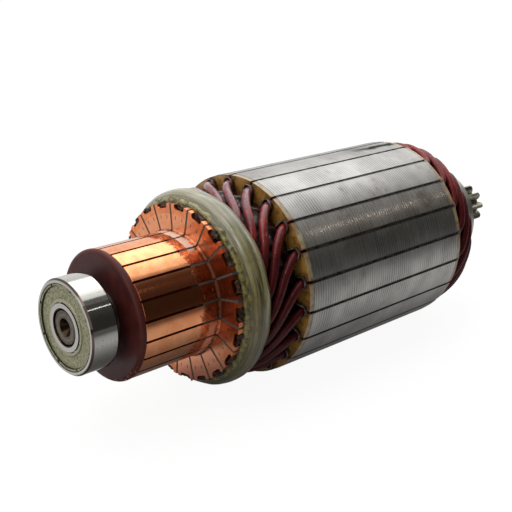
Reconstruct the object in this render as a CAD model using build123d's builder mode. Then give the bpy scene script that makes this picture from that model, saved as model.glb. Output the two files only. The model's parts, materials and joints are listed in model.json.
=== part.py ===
from build123d import *
import math
import os

# Wound armature of a geared starter motor.
# +Y runs along the shaft from the commutator end to the drive end, and +Z is up.
# The origin is on the shaft axis, at mid-width of the commutator-end bearing.
# A core slot lies straight down, at -Z. All sizes are in millimetres.

os.makedirs("parts", exist_ok=True)

# Counts
slot_count = 21
coil_span = 5
commutator_span = 10

# Lengths along the shaft, from the commutator end
bearing_gap = 3.2
hub_cap_thickness = 1.4
brush_length = 24.6
riser_width = 6.2
front_overhang = 16.4
plate_thickness = 1.6
core_length = 66.6
rear_overhang = 15.4
pinion_relief = 2.4
pinion_length = 17.9

# Core and slots
core_diameter = 60.0
slot_opening = 0.8
slot_lip = 1.1
slot_taper = 0.75
slot_corner = 0.9
paper_thickness = 0.2
paper_fit = 0.04
paper_reach = 1.2
plate_rim_step = 0.1
plate_slot_fit = 0.05

# Winding
wire_diameter = 2.6
wire_sides = 8
wire_fit = 0.15
layer_gap = 0.4
lead_straight = 2.4
nose_drop = 1.6
rear_straight = 2.2
rear_reach = 11.4

# Commutator
commutator_diameter = 36.0
riser_diameter = 51.1
bar_gap = 0.7
bar_edge = 0.4
bar_root_step = 0.5
bar_body_depth = 3.0
dovetail_depth = 2.6
dovetail_slope = 2.0
dovetail_inset = 4.4
undercut_depth = 0.8
undercut_stop = 5.6
fin_root = 1.5
fin_step = 0.15
notch_width = 4.2
notch_depth = 1.3
notch_corner = 0.8
notch_wall = 1.8
lead_slot_fit = 0.05
hub_rim_step = 0.1
hub_rim_edge = 1.2
hub_tail = 1.6

# Banding ring
band_front_offset = 2.8
band_width = 7.4
band_fit = 0.1
band_height = 3.0
band_lip = 1.3
band_edge = 0.9

# Shaft
shaft_core_diameter = 17.0
shoulder_diameter = 14.0
shaft_end_recess = 0.3
shaft_chamfer = 0.4
centre_mouth_radius = 2.5
centre_drill_radius = 1.0
centre_cone_depth = 2.6
centre_drill_depth = 4.4
relief_diameter = 9.8

# Pinion
pinion_teeth = 10
pinion_module = 1.25
pinion_phase = 8.2
pinion_chamfer = 0.5
tooth_tip_half_angle = 2.8
tooth_pitch_half_angle = 9.8
tooth_root_half_angle = 13.4
root_clearance = 1.3

# Ball bearings: outside diameter, bore, width, land diameters, ball and count
front_outside = 26.0
front_bore = 10.0
front_width = 8.0
front_outer_land = 23.7
front_inner_land = 13.0
front_ball = 4.762
front_balls = 7
rear_outside = 35.0
rear_bore = 15.0
rear_width = 11.0
rear_outer_land = 31.4
rear_inner_land = 19.2
rear_ball = 5.953
rear_balls = 8

# Details that both bearings share
ring_chamfer = 0.5
bore_chamfer = 0.2
race_shoulder = 0.7
ball_fit = 0.02
shield_thickness = 0.4
shield_recess = 0.5
shield_gap = 0.25
shield_seat_fit = 0.02
shield_lip = 0.25
shield_rim = 0.7
shield_curl = 0.8
cage_thickness = 1.4
cage_side = 0.35
cage_pocket_fit = 0.1

# Derived angles
pitch = 360 / slot_count
front_lean = (commutator_span - coil_span) / 2 * pitch
rear_lean = coil_span / 2 * pitch
bottom_angle = 180.0

# Derived stations along Y
front_bearing_back = front_width / 2
hub_face = front_bearing_back + bearing_gap
bar_front = hub_face + hub_cap_thickness
riser_face = bar_front + brush_length
riser_back = riser_face + riser_width
front_plate_face = riser_back + front_overhang
core_front = front_plate_face + plate_thickness
core_rear = core_front + core_length
rear_plate_face = core_rear + plate_thickness
rear_bearing_front = rear_plate_face + rear_overhang
rear_bearing_back = rear_bearing_front + rear_width
pinion_front = rear_bearing_back + pinion_relief
shaft_end = pinion_front + pinion_length
shaft_start = -front_width / 2 + shaft_end_recess

# Derived radii
core_radius = core_diameter / 2
wire_radius = wire_diameter / 2
slot_half_width = wire_radius + paper_thickness + paper_fit + wire_fit
layer_pitch = wire_diameter + layer_gap
top_layer = core_radius - slot_lip - paper_thickness - wire_radius
slot_bottom = top_layer - layer_pitch - wire_radius - paper_thickness - paper_fit - wire_fit
paper_top = core_radius - slot_lip - slot_taper - paper_fit
brush_radius = commutator_diameter / 2
riser_radius = riser_diameter / 2
riser_top_wire = riser_radius - wire_radius
lead_slot_bottom = riser_top_wire - layer_pitch - wire_radius - lead_slot_fit
bar_body_radius = brush_radius - bar_body_depth
bar_foot_radius = bar_body_radius - dovetail_depth
shaft_core_radius = shaft_core_diameter / 2


# Helpers


def across(y):
    """Section plane at station y: local X is up, local Y is +X, and it faces the drive end."""
    return Plane(origin=(0, y, 0), x_dir=(0, 0, 1), z_dir=(0, 1, 0))


def polar(radius, angle, y):
    """Point at a radius, an angle from +Z towards +X, and a station."""
    turn = math.radians(angle)
    return (radius * math.sin(turn), y, radius * math.cos(turn))


def finish(builder, name):
    """Label a finished piece and write it."""
    builder.part.label = name
    export_step(builder.part, f"parts/{name}.step")


# Laminated core, with semi-closed slots


def pocket_points(inset, top):
    """Outline of the slot pocket, drawn inwards by inset, from its bottom to the radius top."""
    side = slot_half_width - inset
    corner = slot_corner - inset * (2 - math.sqrt(2))
    floor = slot_bottom + inset
    return [
        (top, side),
        (floor + corner, side),
        (floor, side - corner),
        (floor, corner - side),
        (floor + corner, -side),
        (top, -side),
    ]


def slot_points(grow):
    """Outline of one whole slot, with its tapered shoulders and its narrow mouth."""
    mouth = slot_opening / 2 + grow
    lip = core_radius - slot_lip
    outside = core_radius + slot_lip
    pocket = pocket_points(-grow, lip - slot_taper)
    return [(outside, mouth), (lip, mouth)] + pocket + [(lip, -mouth), (outside, -mouth)]


def slotted_disc(y, radius, grow):
    """Slotted ring section that the core and its end plates share."""
    with BuildSketch() as slot:
        with BuildLine():
            Polyline(slot_points(grow), close=True)
        make_face()
    with BuildSketch(across(y)) as disc:
        Circle(radius)
        Circle(shaft_core_radius, mode=Mode.SUBTRACT)
        with PolarLocations(0, slot_count, start_angle=bottom_angle):
            add(slot.sketch, mode=Mode.SUBTRACT)
    return disc.sketch


plate_radius = core_radius - plate_rim_step
core_section = slotted_disc(core_front, core_radius, 0)
front_plate_section = slotted_disc(front_plate_face, plate_radius, plate_slot_fit)
rear_plate_section = slotted_disc(core_rear, plate_radius, plate_slot_fit)

with BuildPart() as core_stack:
    extrude(core_section, amount=core_length)
finish(core_stack, "core_stack")

with BuildPart() as front_end_plate:
    extrude(front_plate_section, amount=plate_thickness)
finish(front_end_plate, "front_end_plate")

with BuildPart() as rear_end_plate:
    extrude(rear_plate_section, amount=plate_thickness)
finish(rear_end_plate, "rear_end_plate")

with BuildSketch() as liner:
    with BuildLine():
        Polyline(pocket_points(paper_fit, paper_top), close=True)
    make_face()
    with BuildLine():
        Polyline(pocket_points(paper_fit + paper_thickness, core_radius), close=True)
    make_face(mode=Mode.SUBTRACT)

with BuildPart() as slot_liners:
    with BuildSketch(across(front_plate_face - paper_reach)):
        with PolarLocations(0, slot_count, start_angle=bottom_angle):
            add(liner.sketch)
    extrude(amount=core_length + 2 * (plate_thickness + paper_reach))
finish(slot_liners, "slot_liners")

# Hairpin coils: the upper side lies in one slot and the lower side five slots on.
# Each lead is a row of stations (share of the lean, Y, radius), from its slot outwards.

riser_stop = riser_face + notch_wall
lead_start = front_plate_face - lead_straight
lead_end = riser_back + wire_radius + layer_gap
lead_run = lead_start - lead_end
lead_drop = top_layer - riser_top_wire
front_stations = [
    (0.00, lead_start, top_layer),
    (0.24, lead_start - 0.3 * lead_run, top_layer - 0.18 * lead_drop),
    (0.75, lead_start - 0.72 * lead_run, top_layer - 0.7 * lead_drop),
    (1.00, lead_end, riser_top_wire),
    (1.00, riser_stop, riser_top_wire),
]
nose_start = rear_plate_face + rear_straight
nose_run = rear_reach - rear_straight
rear_stations = [
    (0.00, nose_start, top_layer),
    (0.17, nose_start + 0.19 * nose_run, top_layer - 0.2 * nose_drop),
    (0.55, nose_start + 0.53 * nose_run, top_layer - 0.6 * nose_drop),
    (0.93, nose_start + 0.84 * nose_run, top_layer - nose_drop),
]
nose_station = (1.00, rear_plate_face + rear_reach, top_layer - nose_drop - layer_pitch / 2)


def lead(stations, slot_angle, lean, drop):
    """Points of one lead, from its slot to its far end."""
    return [polar(radius - drop, slot_angle + share * lean, y) for share, y, radius in stations]


def coil_points(upper_angle):
    """Points along one hairpin, from the upper riser end round the nose to the lower one."""
    lower_angle = upper_angle - coil_span * pitch
    share, nose_y, nose_radius = nose_station
    nose = [polar(nose_radius, upper_angle - share * rear_lean, nose_y)]
    upper_front = lead(front_stations, upper_angle, front_lean, 0)
    upper_rear = lead(rear_stations, upper_angle, -rear_lean, 0)
    lower_rear = lead(rear_stations, lower_angle, rear_lean, layer_pitch)
    lower_front = lead(front_stations, lower_angle, -front_lean, layer_pitch)
    return upper_front[::-1] + upper_rear + nose + lower_rear[::-1] + lower_front


for coil_index in range(slot_count):
    points = coil_points(bottom_angle + coil_index * pitch)
    riser_end = Vector(points[0])
    outwards = Vector(riser_end.X, 0, riser_end.Z)
    with BuildPart() as coil:
        with BuildLine() as route:
            Polyline(points)
        with BuildSketch(Plane(origin=riser_end, x_dir=outwards, z_dir=(0, 1, 0))):
            RegularPolygon(wire_radius, wire_sides, major_radius=False, rotation=180 / wire_sides)
        sweep(path=route.line, transition=Transition.RIGHT)
    finish(coil, f"coil_{coil_index + 1:02d}")

# Commutator: copper bars with risers, keyed by dovetails into one moulded hub

dovetail_front = bar_front + dovetail_inset
dovetail_back = riser_back - dovetail_inset


def axial_section(angle):
    """Section plane through the axis: local X is outwards at the angle, local Y is +Y."""
    return Plane(origin=(0, 0, 0), x_dir=polar(1, angle, 0), z_dir=polar(1, angle - 90, 0))


def bar_side(angle, turn):
    """Plane of one side of a bar, half a gap from the radial plane at the angle."""
    inwards = Vector(polar(1, angle + turn, 0))
    return Plane(origin=inwards * (bar_gap / 2), z_dir=inwards)


for bar_index in range(slot_count):
    bar_angle = bottom_angle + (bar_index + 0.5) * pitch
    first_edge = bar_angle - pitch / 2
    last_edge = bar_angle + pitch / 2
    outwards = polar(1, bar_angle, 0)
    with BuildPart() as bar:
        with BuildSketch(axial_section(first_edge)):
            with BuildLine():
                Polyline(
                    (bar_body_radius, bar_front),
                    (brush_radius - bar_edge, bar_front),
                    (brush_radius, bar_front + bar_edge),
                    (brush_radius, riser_face - bar_root_step),
                    (brush_radius + bar_root_step, riser_face),
                    (riser_radius, riser_face),
                    (riser_radius, riser_back),
                    (bar_body_radius, riser_back),
                    (bar_body_radius, dovetail_back),
                    (bar_foot_radius, dovetail_back + dovetail_slope),
                    (bar_foot_radius, dovetail_front - dovetail_slope),
                    (bar_body_radius, dovetail_front),
                    close=True,
                )
            make_face()
        revolve(axis=Axis.Y, revolution_arc=pitch)
        split(bisect_by=bar_side(first_edge, 90), keep=Keep.TOP)
        split(bisect_by=bar_side(last_edge, -90), keep=Keep.TOP)
        # Open notch in the face of the riser
        with BuildSketch(Plane(origin=(0, riser_face, 0), x_dir=outwards, z_dir=(0, 1, 0))):
            with Locations((riser_radius - notch_depth, 0)):
                RectangleRounded(
                    riser_radius,
                    notch_width,
                    notch_corner,
                    align=(Align.MIN, Align.CENTER),
                )
        extrude(amount=notch_wall, mode=Mode.SUBTRACT)
        # Deep slot behind it, where both leads are brazed in
        with BuildSketch(Plane(origin=(0, riser_stop, 0), x_dir=outwards, z_dir=(0, 1, 0))):
            with Locations((lead_slot_bottom, 0)):
                Rectangle(
                    riser_radius,
                    wire_diameter + 2 * lead_slot_fit,
                    align=(Align.MIN, Align.CENTER),
                )
        extrude(amount=riser_width, mode=Mode.SUBTRACT)
    finish(bar, f"commutator_bar_{bar_index + 1:02d}")

with BuildPart() as commutator_hub:
    with BuildSketch(Plane.XY):
        with BuildLine():
            Polyline(
                (brush_radius + hub_rim_step, bar_front - hub_cap_thickness + hub_rim_edge),
                (brush_radius + hub_rim_step, bar_front),
                (bar_body_radius, bar_front),
                (bar_body_radius, dovetail_front),
                (bar_foot_radius, dovetail_front - dovetail_slope),
                (bar_foot_radius, dovetail_back + dovetail_slope),
                (bar_body_radius, dovetail_back),
                (bar_body_radius, riser_back),
                (bar_foot_radius, riser_back + hub_tail),
                (shaft_core_radius, riser_back + hub_tail),
                (shaft_core_radius, hub_face),
                (brush_radius + hub_rim_step - hub_rim_edge, hub_face),
            )
            RadiusArc(
                (brush_radius + hub_rim_step - hub_rim_edge, hub_face),
                (brush_radius + hub_rim_step, hub_face + hub_rim_edge),
                -hub_rim_edge,
            )
        make_face()
    revolve(axis=Axis.Y)
    # Thin fins of the moulding insulate each bar from the next
    for fin_index in range(slot_count):
        with BuildSketch(axial_section(bottom_angle + fin_index * pitch)):
            with BuildLine():
                Polyline(
                    (bar_foot_radius - fin_root, bar_front),
                    (brush_radius - undercut_depth, bar_front),
                    (brush_radius - undercut_depth, riser_face - undercut_stop),
                    (brush_radius - fin_step, riser_face - undercut_stop),
                    (brush_radius - fin_step, riser_face + fin_step),
                    (riser_radius - fin_step, riser_face + fin_step),
                    (riser_radius - fin_step, riser_back),
                    (bar_foot_radius - fin_root, riser_back),
                    close=True,
                )
            make_face()
        extrude(amount=bar_gap / 2, both=True)
finish(commutator_hub, "commutator_hub")

# Glass-fibre banding over the risers and the leads

band_front = riser_face + band_front_offset
band_back = band_front + band_width
band_inner = riser_radius + band_fit
band_outer = band_inner + band_height

with BuildPart() as banding_ring:
    with BuildSketch(Plane.XY):
        with BuildLine():
            Polyline(
                (band_inner, band_front),
                (band_inner, riser_back + band_fit),
                (band_outer - band_edge - band_lip, band_back),
                (band_outer - band_edge, band_back),
            )
            ThreePointArc(
                (band_outer - band_edge, band_back),
                (band_outer, band_front + band_width / 3),
                (band_outer - band_edge, band_front),
            )
            Line((band_outer - band_edge, band_front), (band_inner, band_front))
        make_face()
    revolve(axis=Axis.Y)
finish(banding_ring, "banding_ring")

# Shaft, with its pinion cut on the drive end

pinion_pitch_radius = pinion_module * pinion_teeth / 2
pinion_tip_radius = pinion_pitch_radius + pinion_module
pinion_root_radius = pinion_pitch_radius - root_clearance
half_tooth_pitch = 180 / pinion_teeth


def flank(radius, tooth_half_angle):
    """Point on the side of a tooth gap centred on local X."""
    turn = math.radians(half_tooth_pitch - tooth_half_angle)
    return (radius * math.cos(turn), radius * math.sin(turn))


def mirrored(point):
    return (point[0], -point[1])


gap_root = flank(pinion_root_radius, tooth_root_half_angle)
gap_middle = flank(pinion_pitch_radius, tooth_pitch_half_angle)
gap_tip = flank(pinion_tip_radius, tooth_tip_half_angle)
gap_mouth = (pinion_tip_radius + pinion_module, gap_tip[1])

with BuildSketch() as tooth_gap:
    with BuildLine():
        ThreePointArc(gap_root, gap_middle, gap_tip)
        Polyline(gap_tip, gap_mouth, mirrored(gap_mouth), mirrored(gap_tip))
        ThreePointArc(mirrored(gap_tip), mirrored(gap_middle), mirrored(gap_root))
        ThreePointArc(mirrored(gap_root), (pinion_root_radius, 0), gap_root)
    make_face()

with BuildPart() as rotor_shaft:
    with BuildSketch(Plane.XY):
        with BuildLine():
            Polyline(
                (0, shaft_start + centre_drill_depth),
                (centre_drill_radius, shaft_start + centre_drill_depth),
                (centre_drill_radius, shaft_start + centre_cone_depth),
                (centre_mouth_radius, shaft_start),
                (front_bore / 2 - shaft_chamfer, shaft_start),
                (front_bore / 2, shaft_start + shaft_chamfer),
                (front_bore / 2, front_bearing_back),
                (shoulder_diameter / 2, front_bearing_back),
                (shoulder_diameter / 2, hub_face),
                (shaft_core_radius, hub_face),
                (shaft_core_radius, rear_bearing_front),
                (rear_bore / 2, rear_bearing_front),
                (rear_bore / 2, rear_bearing_back),
                (relief_diameter / 2, rear_bearing_back),
                (relief_diameter / 2, pinion_front),
                (pinion_tip_radius - pinion_chamfer, pinion_front),
                (pinion_tip_radius, pinion_front + pinion_chamfer),
                (pinion_tip_radius, shaft_end - pinion_chamfer),
                (pinion_tip_radius - pinion_chamfer, shaft_end),
                (centre_mouth_radius, shaft_end),
                (centre_drill_radius, shaft_end - centre_cone_depth),
                (centre_drill_radius, shaft_end - centre_drill_depth),
                (0, shaft_end - centre_drill_depth),
                close=True,
            )
        make_face()
    revolve(axis=Axis.Y)
    with BuildSketch(across(pinion_front)):
        with PolarLocations(0, pinion_teeth, start_angle=pinion_phase + half_tooth_pitch):
            add(tooth_gap.sketch)
    extrude(amount=pinion_length, mode=Mode.SUBTRACT)
finish(rotor_shaft, "rotor_shaft")

# Shielded ball bearings


def make_bearing(name, front, outside, bore, width, outer_land, inner_land, ball, balls):
    """Write the rings, shields, cage and balls of one bearing that starts at station front."""
    back = front + width
    middle = front + width / 2
    ball_radius = ball / 2
    pitch_radius = (outside + bore) / 4
    groove = ball_radius + ball_fit
    outer_shoulder = pitch_radius + race_shoulder * ball_radius
    inner_shoulder = pitch_radius - race_shoulder * ball_radius
    groove_half_width = math.sqrt(groove**2 - (race_shoulder * ball_radius) ** 2)
    seat = shield_recess + shield_thickness
    outer_seat = outer_land / 2
    inner_seat = inner_land / 2

    with BuildPart() as outer_ring:
        with BuildSketch(Plane.XY):
            with BuildLine():
                Polyline(
                    (outer_shoulder, middle + groove_half_width),
                    (outer_shoulder, back - seat),
                    (outer_seat, back - seat),
                    (outer_seat, back),
                    (outside / 2 - ring_chamfer, back),
                    (outside / 2, back - ring_chamfer),
                    (outside / 2, front + ring_chamfer),
                    (outside / 2 - ring_chamfer, front),
                    (outer_seat, front),
                    (outer_seat, front + seat),
                    (outer_shoulder, front + seat),
                    (outer_shoulder, middle - groove_half_width),
                )
                ThreePointArc(
                    (outer_shoulder, middle - groove_half_width),
                    (pitch_radius + groove, middle),
                    (outer_shoulder, middle + groove_half_width),
                )
            make_face()
        revolve(axis=Axis.Y)
    finish(outer_ring, f"{name}_outer_ring")

    with BuildPart() as inner_ring:
        with BuildSketch(Plane.XY):
            with BuildLine():
                Polyline(
                    (inner_shoulder, middle + groove_half_width),
                    (inner_shoulder, back - seat),
                    (inner_seat, back - seat),
                    (inner_seat, back),
                    (bore / 2 + bore_chamfer, back),
                    (bore / 2, back - bore_chamfer),
                    (bore / 2, front + bore_chamfer),
                    (bore / 2 + bore_chamfer, front),
                    (inner_seat, front),
                    (inner_seat, front + seat),
                    (inner_shoulder, front + seat),
                    (inner_shoulder, middle - groove_half_width),
                )
                ThreePointArc(
                    (inner_shoulder, middle - groove_half_width),
                    (pitch_radius - groove, middle),
                    (inner_shoulder, middle + groove_half_width),
                )
            make_face()
        revolve(axis=Axis.Y)
    finish(inner_ring, f"{name}_inner_ring")

    with BuildPart() as shields:
        with BuildSketch(Plane.XY):
            with BuildLine():
                Polyline(
                    (inner_seat + shield_gap, front + seat - shield_lip),
                    (inner_seat + shield_gap + shield_rim, front + seat - shield_lip),
                    (inner_seat + shield_gap + shield_rim + shield_lip, front + seat),
                    (outer_seat - shield_seat_fit, front + seat),
                    (outer_seat - shield_seat_fit, front + shield_lip),
                    (outer_seat - shield_seat_fit - shield_curl, front + shield_lip),
                    (outer_seat - shield_seat_fit - shield_curl, front + shield_recess),
                    (inner_seat + shield_gap + shield_rim + shield_lip, front + shield_recess),
                    (inner_seat + shield_gap + shield_rim, front + shield_recess - shield_lip),
                    (inner_seat + shield_gap, front + shield_recess - shield_lip),
                    close=True,
                )
            make_face()
        revolve(axis=Axis.Y)
        mirror(about=Plane.XZ.offset(-middle))
    finish(shields, f"{name}_shields")

    ball_angles = [ball_index * 360 / balls for ball_index in range(balls)]
    ball_places = [(polar(pitch_radius, turn, middle), polar(1, turn, 0)) for turn in ball_angles]

    with BuildPart() as cage:
        with BuildSketch(across(middle)):
            Circle(pitch_radius + cage_thickness / 2)
            Circle(pitch_radius - cage_thickness / 2, mode=Mode.SUBTRACT)
        extrude(amount=ball_radius + cage_side, both=True)
        with Locations(*[Plane(origin=place, z_dir=outwards) for place, outwards in ball_places]):
            Cylinder(ball_radius + cage_pocket_fit, 2 * cage_thickness, mode=Mode.SUBTRACT)
    finish(cage, f"{name}_cage")

    with BuildPart() as ball_set:
        with Locations(*[place for place, outwards in ball_places]):
            Sphere(ball_radius)
    finish(ball_set, f"{name}_balls")


make_bearing(
    "commutator_bearing",
    -front_width / 2,
    front_outside,
    front_bore,
    front_width,
    front_outer_land,
    front_inner_land,
    front_ball,
    front_balls,
)
make_bearing(
    "drive_bearing",
    rear_bearing_front,
    rear_outside,
    rear_bore,
    rear_width,
    rear_outer_land,
    rear_inner_land,
    rear_ball,
    rear_balls,
)
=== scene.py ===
import json
import math

import bmesh
import bpy
from mathutils import Matrix, Vector, noise


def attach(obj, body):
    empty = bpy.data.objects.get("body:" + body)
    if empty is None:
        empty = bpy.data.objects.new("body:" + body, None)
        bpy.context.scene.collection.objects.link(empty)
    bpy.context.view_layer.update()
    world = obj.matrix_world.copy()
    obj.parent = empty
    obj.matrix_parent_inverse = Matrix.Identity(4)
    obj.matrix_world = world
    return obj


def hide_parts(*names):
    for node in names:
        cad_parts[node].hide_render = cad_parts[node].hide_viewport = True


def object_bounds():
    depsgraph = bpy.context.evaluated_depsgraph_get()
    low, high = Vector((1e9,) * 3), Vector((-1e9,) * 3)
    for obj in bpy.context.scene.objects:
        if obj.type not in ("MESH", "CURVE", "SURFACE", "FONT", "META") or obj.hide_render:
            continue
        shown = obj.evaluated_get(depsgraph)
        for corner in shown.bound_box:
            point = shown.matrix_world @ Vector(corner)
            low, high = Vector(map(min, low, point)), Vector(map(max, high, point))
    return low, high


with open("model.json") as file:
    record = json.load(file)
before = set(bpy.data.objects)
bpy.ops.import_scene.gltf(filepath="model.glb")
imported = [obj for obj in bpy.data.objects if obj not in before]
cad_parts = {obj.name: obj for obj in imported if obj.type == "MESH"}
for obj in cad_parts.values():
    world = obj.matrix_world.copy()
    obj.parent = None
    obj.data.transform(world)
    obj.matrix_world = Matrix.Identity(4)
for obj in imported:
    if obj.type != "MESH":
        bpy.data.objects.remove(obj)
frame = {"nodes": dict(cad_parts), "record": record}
cad_box = [list(corner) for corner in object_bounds()]
nodes = frame["nodes"]

# The armature lies along +Y, commutator end first. Lengths are in millimetres and are
# turned into metres as each piece is made. A turn goes from straight up towards +X: in
# degrees for shapes, and in slot pitches for finishes.

MM = 0.001

# Winding
SLOTS = 21
PITCH = 360 / SLOTS
FIRST_SLOT = 180
COIL_SPAN = 5
WIRE_RADIUS = 1.3
UPPER_WIRE = 27.4
LAYER_DROP = 3.0

# Stations along the shaft
BEARING_FACE = -4.0
BAR_FRONT = 8.6
RISER_FACE = 33.2
PLATE_FRONT = 55.8
CORE_FRONT = 57.4
CORE_REAR = 124.0
PLATE_REAR = 125.6
BEARING_BACK = 152.0

# Radii
BAR_RADIUS = 18.0
CORE_RADIUS = 30.0


def rim_point(radius, turn, station):
    """Point at a radius, a turn in degrees and a station."""
    angle = math.radians(turn)
    return Vector((radius * math.sin(angle), station, radius * math.cos(angle))) * MM


# Shader building blocks


def feed(tree, socket, value):
    """Join a socket to another, or write a plain value in it."""
    if isinstance(value, bpy.types.NodeSocket):
        tree.links.new(value, socket)
    elif value is not None:
        socket.default_value = value


def maths(tree, operation, first, second=None):
    node = tree.nodes.new("ShaderNodeMath")
    node.operation = operation
    for socket, value in zip(node.inputs, (first, second)):
        feed(tree, socket, value)
    return node.outputs[0]


def product(tree, *values):
    result = values[0]
    for value in values[1:]:
        result = maths(tree, "MULTIPLY", result, value)
    return result


def stretch(tree, value, low, high, to_low=0.0, to_high=1.0, smooth=True):
    """Map a value from one range to another, held at both ends."""
    node = tree.nodes.new("ShaderNodeMapRange")
    node.interpolation_type = "SMOOTHSTEP" if smooth else "LINEAR"
    for socket, number in zip(node.inputs, (value, low, high, to_low, to_high)):
        feed(tree, socket, number)
    return node.outputs[0]


def blend_colour(tree, share, first, second):
    node = tree.nodes.new("ShaderNodeMix")
    node.data_type = "RGBA"
    feed(tree, node.inputs[0], share)
    for socket, colour in zip(node.inputs[6:8], (first, second)):
        feed(tree, socket, colour if isinstance(colour, bpy.types.NodeSocket) else (*colour, 1))
    return node.outputs[2]


def cloud(tree, vector, scale, detail, roughness):
    node = tree.nodes.new("ShaderNodeTexNoise")
    for label, value in zip(("Vector", "Scale", "Detail", "Roughness"), (vector, scale, detail, roughness)):
        feed(tree, node.inputs[label], value)
    return node.outputs[0]


def combine(tree, x, y, z):
    node = tree.nodes.new("ShaderNodeCombineXYZ")
    for socket, value in zip(node.inputs, (x, y, z)):
        feed(tree, socket, value)
    return node.outputs[0]


def separate(tree, vector):
    node = tree.nodes.new("ShaderNodeSeparateXYZ")
    feed(tree, node.inputs[0], vector)
    return node.outputs


def coordinates(tree, kind):
    return tree.nodes.new("ShaderNodeTexCoord").outputs[kind]


# Patterns that several finishes share


def new_group(name, inputs, outputs):
    """Empty shader node group with its named sockets, and its two end nodes."""
    tree = bpy.data.node_groups.new(name, "ShaderNodeTree")
    for label, kind, value in inputs:
        socket = tree.interface.new_socket(label, in_out="INPUT", socket_type=kind)
        if value is not None:
            socket.default_value = value
    for label, kind in outputs:
        tree.interface.new_socket(label, in_out="OUTPUT", socket_type=kind)
    return tree, tree.nodes.new("NodeGroupInput"), tree.nodes.new("NodeGroupOutput")


def place_group():
    """Where a point of the armature is: station and radius in millimetres, turn in pitches."""
    tree, _, out = new_group(
        "Place on the shaft",
        [],
        [
            ("Station", "NodeSocketFloat"),
            ("Radius", "NodeSocketFloat"),
            ("Turn", "NodeSocketFloat"),
            ("Millimetres", "NodeSocketVector"),
        ],
    )
    scaled = tree.nodes.new("ShaderNodeVectorMath")
    scaled.operation = "SCALE"
    feed(tree, scaled.inputs[0], coordinates(tree, "Object"))
    scaled.inputs["Scale"].default_value = 1 / MM
    x, y, z = separate(tree, scaled.outputs[0])
    square = maths(tree, "ADD", maths(tree, "MULTIPLY", x, x), maths(tree, "MULTIPLY", z, z))
    turn = maths(tree, "ARCTAN2", x, z)
    feed(tree, out.inputs["Station"], y)
    feed(tree, out.inputs["Radius"], maths(tree, "SQRT", square))
    feed(tree, out.inputs["Turn"], maths(tree, "MULTIPLY", turn, SLOTS / (2 * math.pi)))
    feed(tree, out.inputs["Millimetres"], scaled.outputs[0])
    return tree


def smudge_group():
    """Soft uneven patches, from 0 to 1."""
    tree, given, out = new_group(
        "Smudges",
        [
            ("Vector", "NodeSocketVector", None),
            ("Scale", "NodeSocketFloat", 0.2),
            ("Low", "NodeSocketFloat", 0.45),
            ("High", "NodeSocketFloat", 0.65),
        ],
        [("Mask", "NodeSocketFloat")],
    )
    patches = cloud(tree, given.outputs["Vector"], given.outputs["Scale"], 5, 0.6)
    feed(tree, out.inputs["Mask"], stretch(tree, patches, given.outputs["Low"], given.outputs["High"]))
    return tree


def turning_group():
    """Fine lines left round the shaft by the lathe, some deeper than others."""
    tree, given, out = new_group(
        "Turning lines",
        [
            ("Station", "NodeSocketFloat", 0.0),
            ("Radius", "NodeSocketFloat", 0.0),
            ("Spacing", "NodeSocketFloat", 0.15),
        ],
        [("Lines", "NodeSocketFloat")],
    )
    across = maths(tree, "ADD", given.outputs["Station"], given.outputs["Radius"])
    across = maths(tree, "DIVIDE", across, given.outputs["Spacing"])
    feed(tree, out.inputs["Lines"], cloud(tree, combine(tree, across, 0.0, 0.0), 1.0, 2, 0.7))
    return tree


place_tree = place_group()
smudge_tree = smudge_group()
turning_tree = turning_group()


# Finishes


class Finish:
    """A material under construction: its node tree, its shader and the shared patterns."""

    def __init__(self, name, **sockets):
        self.material = bpy.data.materials.new(name)
        self.material.use_nodes = True
        self.tree = self.material.node_tree
        self.shader = self.tree.nodes["Principled BSDF"]
        for label, value in sockets.items():
            self.set(label.replace("_", " "), value)
        self.station, self.radius, self.turn, self.mm = self.group(place_tree)

    def group(self, tree, **inputs):
        """Use one of the shared patterns."""
        node = self.tree.nodes.new("ShaderNodeGroup")
        node.node_tree = tree
        for label, value in inputs.items():
            feed(self.tree, node.inputs[label], value)
        return node.outputs

    def set(self, label, value):
        feed(self.tree, self.shader.inputs[label], value)

    def smudges(self, scale, low, high):
        return self.group(smudge_tree, Vector=self.mm, Scale=scale, Low=low, High=high)[0]

    def turning(self, spacing):
        return self.group(turning_tree, Station=self.station, Radius=self.radius, Spacing=spacing)[0]

    def math(self, operation, *values):
        return maths(self.tree, operation, *values)

    def times(self, *values):
        return product(self.tree, *values)

    def rest_of(self, share):
        return self.math("SUBTRACT", 1.0, share)

    def off(self, value, middle):
        """Distance of a value from a middle, either way."""
        return self.math("ABSOLUTE", self.math("SUBTRACT", value, middle))

    def off_top(self):
        """Turn away from straight up, either way."""
        return self.math("ABSOLUTE", self.turn)

    def off_slot(self):
        """Distance from the nearest core slot, in pitches."""
        return self.off(self.math("FRACT", self.turn), 0.5)

    def range(self, value, low, high, to_low=0.0, to_high=1.0):
        return stretch(self.tree, value, low, high, to_low, to_high)

    def around(self, value, middle, full, none, most=1.0):
        """Mask at its most up to one distance from the middle, and gone at another."""
        return self.range(self.off(value, middle), full, none, most, 0.0)

    def ragged(self, value, scale, detail, amount):
        """A value that wanders by smooth noise, so that a mask made from it gets an uneven edge."""
        return self.math("ADD", value, self.range(self.noise(scale, detail), 0.3, 0.7, -amount, amount))

    def mix(self, share, first, second):
        return blend_colour(self.tree, share, first, second)

    def noise(self, scale, detail, roughness=0.55, vector=None):
        return cloud(self.tree, vector or self.mm, scale, detail, roughness)

    def bump(self, height, distance, strength):
        node = self.tree.nodes.new("ShaderNodeBump")
        node.inputs["Distance"].default_value = distance * MM
        node.inputs["Strength"].default_value = strength
        feed(self.tree, node.inputs["Height"], height)
        self.set("Normal", node.outputs[0])


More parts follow.
